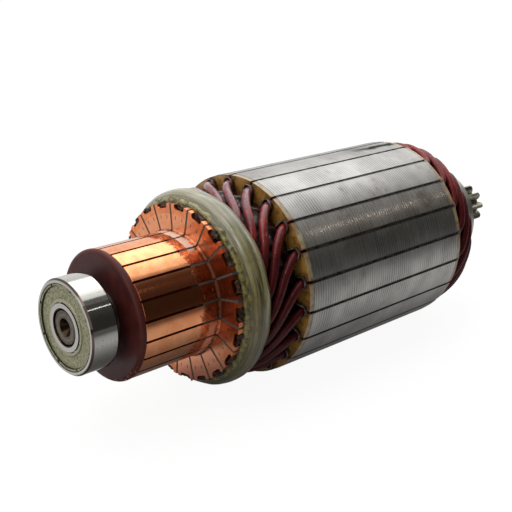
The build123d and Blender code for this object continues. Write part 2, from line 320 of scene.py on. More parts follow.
def make_copper():
    """Turned copper of the bars: bright where the brushes run, varnished and stained near the risers, with painted
    shade and painted glints on the shaded side.
    """
    copper = Finish("copper", Coat_Roughness=0.05)
    lines = copper.turning(0.12)
    bright = copper.mix(copper.smudges(0.3, 0.40, 0.62), (0.96, 0.42, 0.20), (0.86, 0.33, 0.145))
    bright = copper.mix(copper.range(lines, 0.35, 0.8, 0.0, 0.45), bright, (0.52, 0.18, 0.08))
    # Painted shade: the bars are darker round the shaded side of the commutator
    bright = copper.mix(copper.around(copper.turn, 3.65, 0.8, 1.3, 0.75), bright, (0.58, 0.15, 0.065))

    # Varnish stain next to the risers, and a thick brown varnish coat on one side of it
    stain = copper.range(copper.ragged(copper.station, 0.5, 4, 1.7), 27.5, 27.8)
    stained = copper.mix(copper.smudges(0.55, 0.4, 0.6), (0.80, 0.30, 0.13), (0.42, 0.12, 0.05))
    side = copper.times(copper.around(copper.turn, 3.7, 1.6, 2.3), copper.range(copper.station, 27.0, 29.0))

    # Ring at the foot of the risers that was scraped clean
    edge = copper.ragged(copper.station, 0.9, 2, 0.35)
    scraped = copper.times(copper.range(edge, 29.5, 29.7), copper.range(edge, 32.3, 32.0), copper.rest_of(side))
    dry = copper.times(scraped, copper.range(copper.radius, BAR_RADIUS + 0.5, BAR_RADIUS + 0.2))
    clean = copper.mix(copper.range(copper.turn, 3.0, 5.0), (1.0, 0.74, 0.60), (0.98, 0.40, 0.24))
    barrel = copper.mix(scraped, copper.mix(stain, bright, stained), clean)

    # Faces of the risers, with two short chisel marks on each
    on_face = copper.range(copper.radius, BAR_RADIUS + 0.2, BAR_RADIUS + 0.6)
    face = copper.mix(copper.smudges(0.45, 0.4, 0.62), (0.90, 0.30, 0.115), (0.74, 0.22, 0.08))
    face = copper.mix(copper.range(copper.turn, 6.6, 8.0), face, (1.0, 0.40, 0.25))
    face = copper.mix(copper.range(copper.radius, 22.6, 22.9, 0.45, 0.0), face, (0.95, 0.44, 0.24))
    across = copper.off(copper.turn, copper.math("ROUND", copper.turn))
    mark = copper.times(copper.around(across, 0.216, 0.017, 0.032), copper.around(copper.radius, 21.8, 0.35, 0.7, 0.8))
    face = copper.mix(mark, face, (0.10, 0.03, 0.02))

    varnish_and_painted_light = copper.mix(copper.smudges(0.4, 0.42, 0.6), (0.40, 0.10, 0.035), (0.16, 0.04, 0.018))
    # Painted glints: bright orange patches in the varnish coat stand in for highlights
    varnish_and_painted_light = copper.mix(copper.smudges(0.8, 0.62, 0.68), varnish_and_painted_light, (1.0, 0.42, 0.12))
    # Painted shade on the fillet at the foot of the risers, on the shaded side
    painted_shade_fillet = copper.times(
        copper.range(copper.station, RISER_FACE - 1.3, RISER_FACE - 1.0),
        copper.range(copper.radius, BAR_RADIUS + 1.2, BAR_RADIUS + 0.8),
        side,
    )
    varnish_and_painted_light = copper.mix(painted_shade_fillet, varnish_and_painted_light, (0.09, 0.022, 0.012))
    copper.set("Base Color", copper.mix(copper.times(side, 0.8), copper.mix(on_face, barrel, face), varnish_and_painted_light))
    copper.set("Metallic", copper.range(dry, 0.0, 1.0, 1.0, 0.25))

    dull = copper.math("MAXIMUM", stain, on_face)
    matt = copper.times(copper.math("MAXIMUM", dry, painted_shade_fillet), 0.6)
    copper.set("Roughness", copper.math("MAXIMUM", copper.range(dull, 0.0, 1.0, 0.14, 0.3), matt))
    coat = copper.math("MAXIMUM", copper.times(side, 0.6), copper.times(dull, 0.35))
    copper.set("Coat Weight", copper.math("SUBTRACT", coat, copper.times(painted_shade_fillet, 0.55)))
    ripple = copper.times(copper.noise(0.9, 3), dull)
    copper.bump(copper.math("ADD", copper.times(lines, 0.015), ripple), 0.12, 0.5)
    return copper.material


def make_resin():
    """Moulded maroon resin, greyer where it fills the joints between the risers."""
    resin = Finish("maroon_resin", Roughness=0.38, Specular_IOR_Level=0.2)
    body = resin.mix(resin.smudges(0.35, 0.4, 0.7), (0.055, 0.011, 0.010), (0.088, 0.017, 0.014))
    rim = resin.range(resin.radius, BAR_RADIUS - 1.1, BAR_RADIUS - 0.4)
    body = resin.mix(resin.times(rim, 0.6), body, (0.11, 0.026, 0.022))
    undercut = resin.range(resin.station, BAR_FRONT - 0.05, BAR_FRONT + 0.05)
    body = resin.mix(undercut, body, (0.07, 0.012, 0.006))
    specks = resin.times(resin.smudges(1.6, 0.57, 0.62), resin.around(resin.turn, 8.6, 0.9, 1.8), rim)
    body = resin.mix(specks, body, (0.75, 0.36, 0.2))
    grey = resin.range(resin.station, 25.0, 26.5)
    resin.set("Base Color", resin.mix(grey, body, (0.13, 0.11, 0.095)))
    resin.bump(resin.noise(3.0, 4), 0.04, 0.4)
    return resin.material


def make_enamel():
    """Red enamel over copper wire, with a dull purple-grey haze on the upper wires that is partly dried varnish and
    partly painted sheen, and painted shade on the lower wires and between them.
    """
    enamel = Finish("enamelled_wire", Coat_Roughness=0.03, Specular_IOR_Level=0.1)
    base = enamel.mix(enamel.smudges(0.3, 0.42, 0.6), (0.32, 0.018, 0.016), (0.15, 0.013, 0.015))
    # Painted sheen: purple-grey haze on the upper wires, fading towards the far end, partly dried varnish
    upper = enamel.range(enamel.off_top(), 1.0, 2.1, 0.75, 0.0)
    near = enamel.range(enamel.station, 110.0, 70.0)
    varnish_and_painted_light = enamel.times(upper, near, enamel.smudges(0.5, 0.32, 0.55))
    base = enamel.mix(varnish_and_painted_light, base, (0.27, 0.12, 0.135))
    base = enamel.mix(enamel.times(enamel.smudges(1.1, 0.5, 0.7), 0.6), base, (0.03, 0.008, 0.007))
    base = enamel.mix(enamel.times(enamel.smudges(2.2, 0.62, 0.68), 0.6), base, (0.50, 0.26, 0.26))
    # Painted shade: the wires are darker further down the sides
    under = enamel.range(enamel.off_top(), 1.8, 3.7, 0.0, 0.85)
    base = enamel.mix(under, base, (0.06, 0.005, 0.006))

    # Painted shade low between the wires at both ends; dark brown wire ends in the risers, and near black wire inside
    # the core
    painted_shade_low = enamel.times(
        enamel.range(enamel.station, 45.0, 47.5),
        enamel.range(enamel.station, 134.5, 133.0),
        enamel.range(enamel.radius, 26.3, 25.5, 0.0, 0.9),
    )
    base = enamel.mix(painted_shade_low, base, (0.012, 0.005, 0.004))
    painted_shade_rear = enamel.times(
        enamel.range(enamel.station, PLATE_REAR + 0.4, PLATE_REAR + 2.4),
        enamel.range(enamel.radius, 28.3, 27.3, 0.0, 0.6),
    )
    base = enamel.mix(painted_shade_rear, base, (0.035, 0.006, 0.006))
    base = enamel.mix(enamel.range(enamel.station, 36.0, 38.0), (0.035, 0.014, 0.009), base)
    in_core = enamel.times(
        enamel.range(enamel.station, CORE_FRONT - 0.6, CORE_FRONT + 0.2),
        enamel.range(enamel.station, CORE_REAR + 0.4, CORE_REAR - 0.4),
    )
    enamel.set("Base Color", enamel.mix(in_core, base, (0.02, 0.016, 0.015)))
    enamel.set("Roughness", enamel.range(in_core, 0.0, 1.0, 0.45, 0.8))
    coat = enamel.times(enamel.range(near, 0.0, 1.0, 0.35, 0.9), enamel.range(under, 0.0, 0.8, 1.0, 0.35))
    enamel.set("Coat Weight", coat)
    enamel.bump(enamel.noise(1.5, 4), 0.28, 0.85)
    return enamel.material


def make_core_steel():
    """Edges of the stacked sheets, one millimetre apart, ground to size after stacking."""
    steel = Finish("core_steel", Specular_IOR_Level=0.0)
    lines = steel.turning(0.16)
    broad = steel.noise(0.09, 3)
    sheet = combine(steel.tree, steel.math("FLOOR", steel.station), 0.0, 0.0)
    each = steel.noise(1.0, 0, vector=sheet)
    seam = steel.times(
        steel.range(steel.off(steel.math("FRACT", steel.station), 0.5), 0.28, 0.46),
        steel.range(each, 0.35, 0.6, 0.45, 1.0),
        steel.range(broad, 0.4, 0.6, 1.0, 0.55),
    )
    shade = steel.math("ADD", steel.range(each, 0.3, 0.7, -0.04, 0.10), steel.range(lines, 0.3, 0.7, -0.06, 0.06))
    shade = steel.math("ADD", shade, steel.range(broad, 0.3, 0.7, -0.05, 0.05))
    bright = steel.math("SUBTRACT", steel.math("ADD", 0.36, shade), steel.times(seam, 0.24))
    outer = combine(steel.tree, bright, steel.times(bright, 0.975), steel.times(bright, 0.93))

    # Rust, oil, a dark smear along the top of the far half, and darker edges along the slots, fainter on top
    rust = steel.times(steel.smudges(0.11, 0.6, 0.74), steel.smudges(0.9, 0.35, 0.65), 0.7)
    outer = steel.mix(rust, outer, (0.15, 0.08, 0.045))
    oil = steel.times(steel.smudges(0.07, 0.58, 0.7), steel.range(steel.station, 62.0, 80.0, 0.0, 0.45))
    outer = steel.mix(oil, outer, (0.12, 0.105, 0.09))
    drift = steel.range(steel.station, 102.0, 123.0, 0.1, 0.02)
    drift = steel.math("ADD", steel.ragged(steel.turn, 0.18, 4, 0.04), drift)
    smear = steel.times(
        steel.around(drift, 0.0, 0.06, 0.22),
        steel.range(steel.station, 103.0, 112.0, 0.0, 0.95),
        steel.range(steel.noise(0.4, 4), 0.36, 0.5, 0.75, 1.0),
    )
    outer = steel.mix(smear, outer, (0.035, 0.033, 0.022))
    frayed = steel.math("ADD", steel.off_slot(), steel.range(steel.turning(0.5), 0.3, 0.7, -0.012, 0.012))
    slot_edge_dark = steel.times(
        steel.range(frayed, 0.055, 0.075, 0.5, 0.0),
        steel.range(steel.off_top(), 1.0, 2.5, 0.4, 1.0),
    )
    outer = steel.mix(slot_edge_dark, outer, (0.09, 0.08, 0.07))

    on_rim = steel.range(steel.radius, CORE_RADIUS - 0.3, CORE_RADIUS - 0.1)
    steel.set("Base Color", steel.mix(on_rim, (0.09, 0.08, 0.075), outer))
    polished = steel.range(steel.math("SUBTRACT", lines, steel.times(seam, 0.5)), 0.52, 0.58)
    steel.set("Roughness", steel.range(polished, 0.0, 1.0, 0.42, 0.17))
    steel.set("Metallic", steel.rest_of(smear))
    return steel.material


def make_fibre():
    """Varnished amber fibre board, with a tan cut rim."""
    fibre = Finish("amber_fibre", Roughness=0.34, Coat_Weight=0.4, Coat_Roughness=0.15)
    off_slot = fibre.off_slot()
    face = fibre.mix(fibre.smudges(0.35, 0.48, 0.7), (0.46, 0.235, 0.05), (0.17, 0.075, 0.02))
    browned = fibre.times(
        fibre.range(fibre.ragged(off_slot, 0.5, 3, 0.09), 0.16, 0.32, 0.7, 0.0),
        fibre.range(fibre.radius, 22.5, 25.0),
    )
    face = fibre.mix(browned, face, (0.12, 0.04, 0.013))
    rim = fibre.mix(fibre.smudges(0.4, 0.4, 0.62), (0.44, 0.35, 0.21), (0.28, 0.18, 0.08))
    rim = fibre.mix(fibre.range(off_slot, 0.05, 0.13, 0.8, 0.0), rim, (0.26, 0.10, 0.035))
    on_rim = fibre.range(fibre.radius, CORE_RADIUS - 0.4, CORE_RADIUS - 0.15)
    fibre.set("Base Color", fibre.mix(on_rim, face, rim))
    fibre.bump(fibre.noise(2.2, 4), 0.06, 0.5)
    return fibre.material


def make_paper():
    """Grey-white slot paper, stained brown where varnish has soaked in."""
    paper = Finish("slot_paper", Roughness=0.5, Coat_Weight=0.2, Coat_Roughness=0.2)
    soaked = paper.mix(paper.smudges(0.6, 0.42, 0.62), (0.10, 0.085, 0.07), (0.035, 0.025, 0.02))
    front_edge = paper.range(paper.station, PLATE_FRONT - 0.9, PLATE_FRONT - 1.2)
    rear_edge = paper.range(paper.station, PLATE_REAR + 0.9, PLATE_REAR + 1.2)
    edge = paper.times(paper.math("MAXIMUM", front_edge, rear_edge), paper.smudges(0.6, 0.58, 0.42))
    paper.set("Base Color", paper.mix(edge, soaked, (0.34, 0.32, 0.28)))
    paper.bump(paper.noise(3.0, 3), 0.03, 0.4)
    return paper.material


def make_banding():
    """Resin-bonded glass fibre: pale green strands wound side by side under clear resin."""
    glass = Finish("glass_banding", Coat_Weight=0.6, Coat_Roughness=0.05)
    around, along, outwards = (
        glass.times(value, scale) for value, scale in ((glass.turn, 0.3), (glass.station, 0.9), (glass.radius, 0.9))
    )
    wound = combine(glass.tree, around, along, outwards)
    strands = glass.noise(1.0, 5, 0.7, wound)
    tone = glass.mix(glass.range(strands, 0.42, 0.58), (0.060, 0.052, 0.015), (0.38, 0.35, 0.17))
    tone = glass.mix(glass.times(glass.smudges(0.13, 0.35, 0.68), 0.6), tone, (0.17, 0.12, 0.03))
    tone = glass.mix(glass.times(glass.smudges(0.22, 0.52, 0.66), 0.7), tone, (0.20, 0.11, 0.02))
    # Painted highlights: light streaks along the strands on the upper part of the ring
    painted_highlight_streaks = glass.times(glass.range(strands, 0.60, 0.66), glass.range(glass.off_top(), 4.0, 2.5))
    tone = glass.mix(painted_highlight_streaks, tone, (0.75, 0.75, 0.68))
    # Painted highlight: the top of the ring is lighter grey
    tone = glass.mix(glass.range(glass.off_top(), 1.5, 4.0, 0.4, 0.0), tone, (0.36, 0.36, 0.27))
    edge = glass.times(
        glass.range(glass.ragged(glass.radius, 0.5, 3, 0.8), 27.2, 26.4),
        glass.range(glass.station, 37.4, 36.8),
        0.85,
    )
    tone = glass.mix(edge, tone, (0.22, 0.19, 0.045))
    # Painted shade: darker on the lower part of the ring towards +X
    painted_shade_low_side = glass.times(glass.range(glass.turn, 4.5, 7.0, 0.0, 0.6), glass.range(glass.turn, 10.5, 9.5))
    glass.set("Base Color", glass.mix(painted_shade_low_side, tone, (0.075, 0.065, 0.02)))
    glass.set("Roughness", glass.range(strands, 0.3, 0.7, 0.42, 0.26))
    glass.bump(strands, 0.14, 0.7)
    return glass.material


def make_bearing_steel():
    """Ground bearing steel with fine streaks round it, brown on the chamfers and duller at the far end."""
    steel = Finish("bearing_steel")
    lines = steel.turning(0.22)
    tone = steel.mix(steel.range(lines, 0.3, 0.75), (0.54, 0.53, 0.50), (0.43, 0.42, 0.39))
    tone = steel.mix(steel.times(steel.smudges(1.3, 0.6, 0.68), 0.6), tone, (0.22, 0.17, 0.10))
    chamfer = steel.times(
        steel.range(steel.station, BEARING_FACE + 0.02, BEARING_FACE + 0.1),
        steel.range(steel.station, BEARING_FACE + 0.55, BEARING_FACE + 0.45),
        steel.range(steel.radius, 12.4, 12.5),
        0.85,
    )
    tone = steel.mix(chamfer, tone, (0.12, 0.06, 0.035))
    far = steel.range(steel.station, 60.0, 100.0)
    tone = steel.mix(steel.times(far, 0.7), tone, (0.46, 0.46, 0.42))
    steel.set("Base Color", steel.mix(steel.range(steel.radius, 5.32, 5.22), tone, (0.06, 0.03, 0.018)))
    steel.set("Metallic", steel.range(far, 0.0, 1.0, 1.0, 0.9))
    steel.set("Roughness", steel.math("ADD", steel.range(lines, 0.2, 0.8, 0.07, 0.10), steel.times(far, 0.27)))
    return steel.material


def make_shield_steel():
    """Pressed steel with a dull, speckled olive passivated skin, and painted shade in the groove, the seat and under
    the crimp ring round the near shield.
    """
    steel = Finish("shield_steel", Roughness=0.45, Metallic=0.6)
    grain = steel.noise(1.9, 4, 0.75)
    tone = steel.mix(steel.range(grain, 0.36, 0.6), (0.13, 0.12, 0.055), (0.42, 0.41, 0.26))
    tone = steel.mix(steel.times(steel.smudges(0.35, 0.4, 0.65), 0.4), tone, (0.28, 0.27, 0.15))
    lip = steel.range(steel.radius, 7.75, 7.5, 0.0, 0.6)
    tone = steel.mix(lip, tone, (0.46, 0.45, 0.33))
    # Painted shade in the groove and seat round the near shield, and under the cuts of the crimp ring
    groove = steel.around(steel.radius, 11.0, 0.05, 0.14, 0.92)
    seat = steel.range(steel.radius, 11.66, 11.72, 0.0, 0.92)
    under_ring = steel.times(
        steel.range(steel.radius, 11.02, 11.08),
        steel.range(steel.station, BEARING_FACE + 0.15, BEARING_FACE + 0.2, 0.0, 0.92),
    )
    painted_gap_shade = steel.math("MAXIMUM", groove, steel.math("MAXIMUM", seat, under_ring))
    near = steel.range(steel.station, 60.0, 20.0)
    steel.set("Base Color", steel.mix(steel.times(painted_gap_shade, near), tone, (0.02, 0.018, 0.01)))
    steel.bump(grain, 0.05, 0.6)
    return steel.material


def make_cage_steel():
    steel = Finish("cage_steel", Roughness=0.35, Metallic=1.0)
    steel.set("Base Color", steel.mix(steel.smudges(0.6, 0.4, 0.6), (0.52, 0.50, 0.46), (0.40, 0.38, 0.34)))
    return steel.material


def make_shaft_steel():
    """Turned steel, oiled and darker at the near end and on the cut teeth."""
    steel = Finish("shaft_steel", Metallic=1.0)
    lines = steel.turning(0.2)
    plain = steel.mix(steel.range(lines, 0.3, 0.7), (0.42, 0.41, 0.38), (0.28, 0.27, 0.25))
    teeth = steel.mix(steel.smudges(0.5, 0.4, 0.65), (0.28, 0.265, 0.205), (0.18, 0.17, 0.125))
    end = steel.mix(steel.smudges(0.9, 0.4, 0.6), (0.13, 0.11, 0.085), (0.08, 0.065, 0.045))
    end = steel.mix(steel.around(steel.radius, 3.45, 0.1, 0.3, 0.8), end, (0.18, 0.16, 0.125))
    end = steel.mix(steel.range(steel.radius, 2.75, 2.35), end, (0.045, 0.028, 0.016))
    end = steel.mix(steel.range(steel.radius, 4.35, 4.6), end, (0.045, 0.02, 0.012))
    tone = steel.mix(steel.range(steel.station, 4.0, 5.0), end, plain)
    behind = steel.range(steel.station, BEARING_BACK + 0.5, BEARING_BACK + 1.0)
    steel.set("Base Color", steel.mix(behind, tone, teeth))
    steel.set("Roughness", steel.range(lines, 0.2, 0.8, 0.26, 0.42))
    return steel.material


def make_varnish():
    """Baked impregnating varnish that fills the hollows of the end turns."""
    varnish = Finish("dark_varnish", Roughness=0.3, Coat_Weight=0.35, Coat_Roughness=0.08, Specular_IOR_Level=0.3)
    lumps = varnish.smudges(0.6, 0.5, 0.72)
    varnish.set("Base Color", varnish.mix(lumps, (0.006, 0.004, 0.004), (0.04, 0.013, 0.009)))
    varnish.bump(varnish.noise(1.4, 4), 0.4, 0.8)
    return varnish.material


def make_bead():
    """Beads of yellow-olive resin where the banding meets the risers."""
    bead = Finish("bonding_resin", Roughness=0.25, Coat_Weight=0.6, Coat_Roughness=0.08)
    tone = bead.mix(bead.smudges(0.45, 0.42, 0.6), (0.27, 0.23, 0.06), (0.10, 0.09, 0.03))
    bead.set("Base Color", bead.mix(bead.smudges(0.7, 0.6, 0.68), tone, (0.04, 0.025, 0.01)))
    bead.bump(bead.noise(1.3, 3), 0.2, 0.5)
    return bead.material


def make_slot_resin():
    """Dull dark resin that fills the mouths of the core slots, with painted light making it lighter grey at the top.
    """
    resin = Finish("slot_resin", Roughness=0.6, Specular_IOR_Level=0.3)
    tone = resin.mix(resin.smudges(0.5, 0.4, 0.65), (0.085, 0.072, 0.065), (0.02, 0.015, 0.012))
    # Painted light: lighter grey on the top slots
    painted_top_light = resin.range(resin.off_top(), 1.0, 2.5, 0.85, 0.0)
    resin.set("Base Color", resin.mix(painted_top_light, tone, (0.24, 0.24, 0.22)))
    return resin.material


def make_braze():
    """Dark, burnt braze and varnish round the wire ends in the risers."""
    braze = Finish("braze", Roughness=0.4, Coat_Weight=0.2, Coat_Roughness=0.1, Specular_IOR_Level=0.3)
    tone = braze.mix(braze.smudges(0.6, 0.42, 0.6), (0.018, 0.008, 0.004), (0.085, 0.036, 0.016))
    silver = braze.times(braze.smudges(1.0, 0.68, 0.74), 0.7)
    braze.set("Base Color", braze.mix(silver, tone, (0.42, 0.36, 0.30)))
    braze.set("Metallic", silver)
    braze.bump(braze.noise(1.6, 4), 0.35, 0.7)
    return braze.material


finishes = {
    "copper": make_copper(),
    "maroon_resin": make_resin(),
    "enamelled_wire": make_enamel(),
    "core_steel": make_core_steel(),
    "amber_fibre": make_fibre(),
    "slot_paper": make_paper(),
    "glass_banding": make_banding(),
    "bearing_steel": make_bearing_steel(),
    "shield_steel": make_shield_steel(),
    "cage_steel": make_cage_steel(),
    "shaft_steel": make_shaft_steel(),
}

for part in frame["record"]["subparts"]:
    held = nodes[part["node"]].data.materials
    held.clear()
    held.append(finishes[part["material_slot"]])


# New pieces


def add_piece(name, mesh, finish, body):
    for face in mesh.polygons:
        face.use_smooth = True
    mesh.materials.append(finish)
    piece = bpy.data.objects.new(name, mesh)
    bpy.context.scene.collection.objects.link(piece)
    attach(piece, body)
    return piece


def close(bm, name):
    mesh = bpy.data.meshes.new(name)
    bm.to_mesh(mesh)
    bm.free()
    return mesh


def spun(bm, corners, centre, degrees, steps, solid):
    """Spin an outline round an axis along the shaft, as a closed ring or as a solid arc."""
    verts = [bm.verts.new(corner) for corner in corners]
    outline = verts + [bm.edges.new(pair) for pair in zip(verts, verts[1:] + verts[:1])]
    if solid:
        outline.append(bm.faces.new(verts))
    bmesh.ops.spin(
        bm,
        geom=outline,
        cent=centre,
        axis=(0, 1, 0),
        angle=math.radians(degrees),
        steps=steps,
        use_merge=not solid,
    )


def mend(bm):
    """Join corners that coincide and turn every face outwards."""
    bmesh.ops.remove_doubles(bm, verts=bm.verts, dist=1e-7)
    bmesh.ops.recalc_face_normals(bm, faces=bm.faces)


def turned(profile, steps):
    """Closed ring round the shaft from a profile of (radius, station) points."""
    bm = bmesh.new()
    spun(bm, [(0, station * MM, radius * MM) for radius, station in profile], (0, 0, 0), 360, steps, solid=False)
    bmesh.ops.recalc_face_normals(bm, faces=bm.faces)
    return bm


def block(size):
    bm = bmesh.new()
    bmesh.ops.create_cube(bm, size=1)
    bmesh.ops.scale(bm, vec=Vector(size) * MM, verts=bm.verts)
    return bm


def turn_copy(bm, verts, degrees):
    bmesh.ops.rotate(bm, verts=verts, cent=(0, 0, 0), matrix=Matrix.Rotation(math.radians(degrees), 3, "Y"))


def spin_copies(bm):
    """Repeat the shape once for each slot."""
    first = bm.verts[:] + bm.edges[:] + bm.faces[:]
    for step in range(1, SLOTS):
        copy = bmesh.ops.duplicate(bm, geom=first)["geom"]
        turn_copy(bm, [item for item in copy if isinstance(item, bmesh.types.BMVert)], step * PITCH)


def outwards(place):
    return Vector((place.x, 0, place.z)).normalized()


def roughen(bm, amount, scale, seed, from_radius=0.0):
    """Push each vertex in or out along the radius by smooth noise."""
    for vert in bm.verts:
        place = vert.co / MM
        if math.hypot(place.x, place.z) > from_radius:
            push = noise.noise(place * scale + Vector((seed, 0, 0))) * amount
            vert.co += outwards(place) * push * MM


# Winding: each hairpin is one round wire with smooth bends.
# Each lead is a row of (lean in degrees, station, radius) points, from the slot outwards.

FRONT_LEAD = [
    (0.0, 62.0, 27.4),
    (0.0, 57.0, 27.4),
    (0.0, 55.6, 27.4),
    (2.0, 53.6, 27.4),
    (4.5, 52.3, 27.4),
    (8.5, 50.5, 27.3),
    (13.5, 48.8, 27.05),
    (20.0, 47.4, 26.7),
    (27.0, 46.05, 26.25),
    (33.0, 44.9, 25.85),
    (38.5, 43.6, 25.3),
    (42.0, 41.9, 24.65),
    (42.86, 40.2, 24.25),
    (42.86, 37.5, 24.25),
    (42.86, 35.4, 24.25),
]
REAR_LEAD = [
    (0.0, 119.0, 27.4),
    (0.0, 127.0, 27.4),
    (1.2, 128.8, 27.5),
    (5.0, 130.1, 27.6),
    (11.5, 131.2, 27.6),
    (19.5, 132.4, 27.5),
    (27.5, 133.7, 27.2),
    (35.0, 135.0, 26.6),
    (40.5, 136.1, 25.8),
]
REAR_NOSE = (42.86, 136.9, 24.4)


def lead(points, start, way, drop=0.0):
    """Points of a lead that leaves its slot at the start turn and leans one way."""
    return [rim_point(radius - drop, start + way * lean, station) for lean, station, radius in points]


def coil_line(index):
    """The upper side of a coil, the nose at its far end and the lower side, from riser to riser."""
    upper = FIRST_SLOT + index * PITCH
    lower = upper - COIL_SPAN * PITCH
    upper_side = lead(FRONT_LEAD, upper, 1)[::-1] + lead(REAR_LEAD, upper, -1)
    lower_side = lead(REAR_LEAD, lower, 1, LAYER_DROP)[::-1] + lead(FRONT_LEAD, lower, -1, LAYER_DROP)
    return upper_side + lead([REAR_NOSE], upper, -1) + lower_side


def wire_mesh(points, name):
    """Round wire along a smooth line through the points."""
    line = bpy.data.curves.new(name, "CURVE")
    line.dimensions = "3D"
    line.bevel_depth = WIRE_RADIUS * MM
    line.bevel_resolution = 3
    line.resolution_u = 3
    line.use_fill_caps = True
    spline = line.splines.new("NURBS")
    spline.points.add(len(points) - 1)
    for knot, point in zip(spline.points, points):
        knot.co = (*point, 1)
    spline.order_u = 4
    spline.use_endpoint_u = True
    carrier = bpy.data.objects.new(name, line)
    bpy.context.scene.collection.objects.link(carrier)
    bpy.context.view_layer.update()
    mesh = bpy.data.meshes.new_from_object(carrier.evaluated_get(bpy.context.evaluated_depsgraph_get()))
    bpy.data.objects.remove(carrier)
    bpy.data.curves.remove(line)
    bm = bmesh.new()
    bm.from_mesh(mesh)
    mend(bm)
    bm.to_mesh(mesh)
    bm.free()
    return mesh


for index in range(SLOTS):
    name = f"round_wire_{index + 1:02d}"
    coil = add_piece(name, wire_mesh(coil_line(index), name), finishes["enamelled_wire"], "rotor")
    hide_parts(f"coil_{index + 1:02d}")

# Varnish that fills the hollows between the two layers of wire, at both ends

VARNISH_STEPS = 168
FRONT_VARNISH = [(22.6, 55.9), (24.2, 55.9), (25.2, 53.6), (26.0, 50.0), (25.2, 46.0), (23.6, 42.0), (21.4, 42.0)]
REAR_VARNISH = [(23.9, 125.6), (26.3, 125.6), (26.2, 130.0), (25.6, 133.4), (24.4, 135.4), (22.2, 135.4)]


def varnish_ring(name, profile, lumps, seed):
    bm = turned(profile, VARNISH_STEPS)
    bmesh.ops.subdivide_edges(bm, edges=bm.edges, cuts=1, use_grid_fill=True)
    roughen(bm, lumps, scale=0.45, seed=seed)
    add_piece(name, close(bm, name), varnish, "rotor")


varnish = make_varnish()
varnish_ring("front_varnish", FRONT_VARNISH, lumps=0.9, seed=3)
varnish_ring("rear_varnish", REAR_VARNISH, lumps=0.8, seed=8)

# Paper cuffs: the end of each slot liner, bent up round its wire

CUFF_INSIDE = WIRE_RADIUS + 0.08
CUFF_ARC = 236
CUFF_CREASES = 0.12
CREASE_SEED = 7


def paper_cuffs(name, mouth, tip):
    """Horseshoe of paper round each wire, from the mouth of the slot to its flared tip."""
    middle = (mouth + tip) / 2
    profile = [(0.0, mouth), (0.08, middle), (0.42, tip), (0.56, tip), (0.24, middle), (0.18, mouth)]
    centre = rim_point(UPPER_WIRE, FIRST_SLOT, 0)
    start = math.radians(-CUFF_ARC / 2)
    side = Vector((math.sin(start), 0, -math.cos(start)))
    along = Vector((0, 1, 0))
    bm = bmesh.new()
    corners = [centre + (side * (CUFF_INSIDE + flare) + along * station) * MM for flare, station in profile]
    spun(bm, corners, centre, -CUFF_ARC, 18, solid=True)
    mend(bm)
    spin_copies(bm)
    for vert in bm.verts:
        vert.co += noise.noise_vector(vert.co / MM * 0.8) * CUFF_CREASES * MM
    add_piece(name, close(bm, name), finishes["slot_paper"], "rotor")


noise.seed_set(CREASE_SEED)
paper_cuffs("front_paper_cuffs", mouth=PLATE_FRONT + 0.2, tip=PLATE_FRONT - 1.3)
paper_cuffs("rear_paper_cuffs", mouth=PLATE_REAR - 0.2, tip=PLATE_REAR + 1.3)

# Resin in the mouths of the core slots

SLOT_RESIN_SIZE = (0.9, 66.4, 0.5)
SLOT_RESIN_RADIUS = 29.45
SLOT_RESIN_CUTS = 80

bm = block(SLOT_RESIN_SIZE)
core_middle = (CORE_FRONT + CORE_REAR) / 2
bmesh.ops.translate(bm, verts=bm.verts, vec=rim_point(SLOT_RESIN_RADIUS, FIRST_SLOT, core_middle))
long_edges = [edge for edge in bm.edges if edge.calc_length() > 10 * MM]
bmesh.ops.subdivide_edges(bm, edges=long_edges, cuts=SLOT_RESIN_CUTS)
spin_copies(bm)
roughen(bm, amount=0.25, scale=0.7, seed=17)
add_piece("slot_resin", close(bm, "slot_resin"), make_slot_resin(), "rotor")

# Braze: dark lumps in the notches of the risers, round the wire ends

BRAZE_SIZE = (4.0, 2.6, 1.25)
BRAZE_PLACE = rim_point(25.0, FIRST_SLOT + PITCH / 2, RISER_FACE + 2.0)


def braze_lump(place):
    """How far the braze bulges at a place: outwards, and towards the near end."""
    bulge = noise.noise(place * 0.9) + noise.noise(place * 2.3) * 0.5
    forward = noise.noise(place * 1.3 + Vector((9, 0, 0))) * 0.7
    return outwards(place) * bulge - Vector((0, forward, 0))


bm = block(BRAZE_SIZE)
bmesh.ops.subdivide_edges(bm, edges=bm.edges, cuts=9, use_grid_fill=True)
turn_copy(bm, bm.verts, PITCH / 2)
bmesh.ops.translate(bm, verts=bm.verts, vec=BRAZE_PLACE)
spin_copies(bm)
for vert in bm.verts:
    vert.co += braze_lump(vert.co / MM) * MM
bmesh.ops.smooth_vert(bm, verts=bm.verts, factor=0.5, use_axis_x=True, use_axis_y=True, use_axis_z=True)
add_piece("braze", close(bm, "braze"), make_braze(), "rotor")

# Banding: a wound ring with a soft crown, and beads of resin along its front edge

BAND_PROFILE = [
    (25.66, 36.0),
    (26.2, 35.9),
    (26.8, 36.1),
    (27.35, 36.5),
    (27.85, 37.1),
    (28.25, 37.9),
    (28.5, 38.8),
    (28.65, 39.8),
    (28.6, 40.7),
    (28.35, 41.7),
    (27.9, 42.6),
    (27.3, 43.3),
    (26.5, 43.4),
    (25.8, 41.6),
    (25.66, 39.6),
]
BEAD_PROFILE = [(24.9, 35.4), (25.5, 34.9), (26.2, 35.1), (26.8, 35.9), (26.0, 37.4), (24.9, 37.0)]

bm = turned(BAND_PROFILE, 192)
roughen(bm, amount=0.22, scale=0.16, seed=5, from_radius=26.0)
band = add_piece("wound_banding", close(bm, "wound_banding"), finishes["glass_banding"], "rotor")
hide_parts("banding_ring")

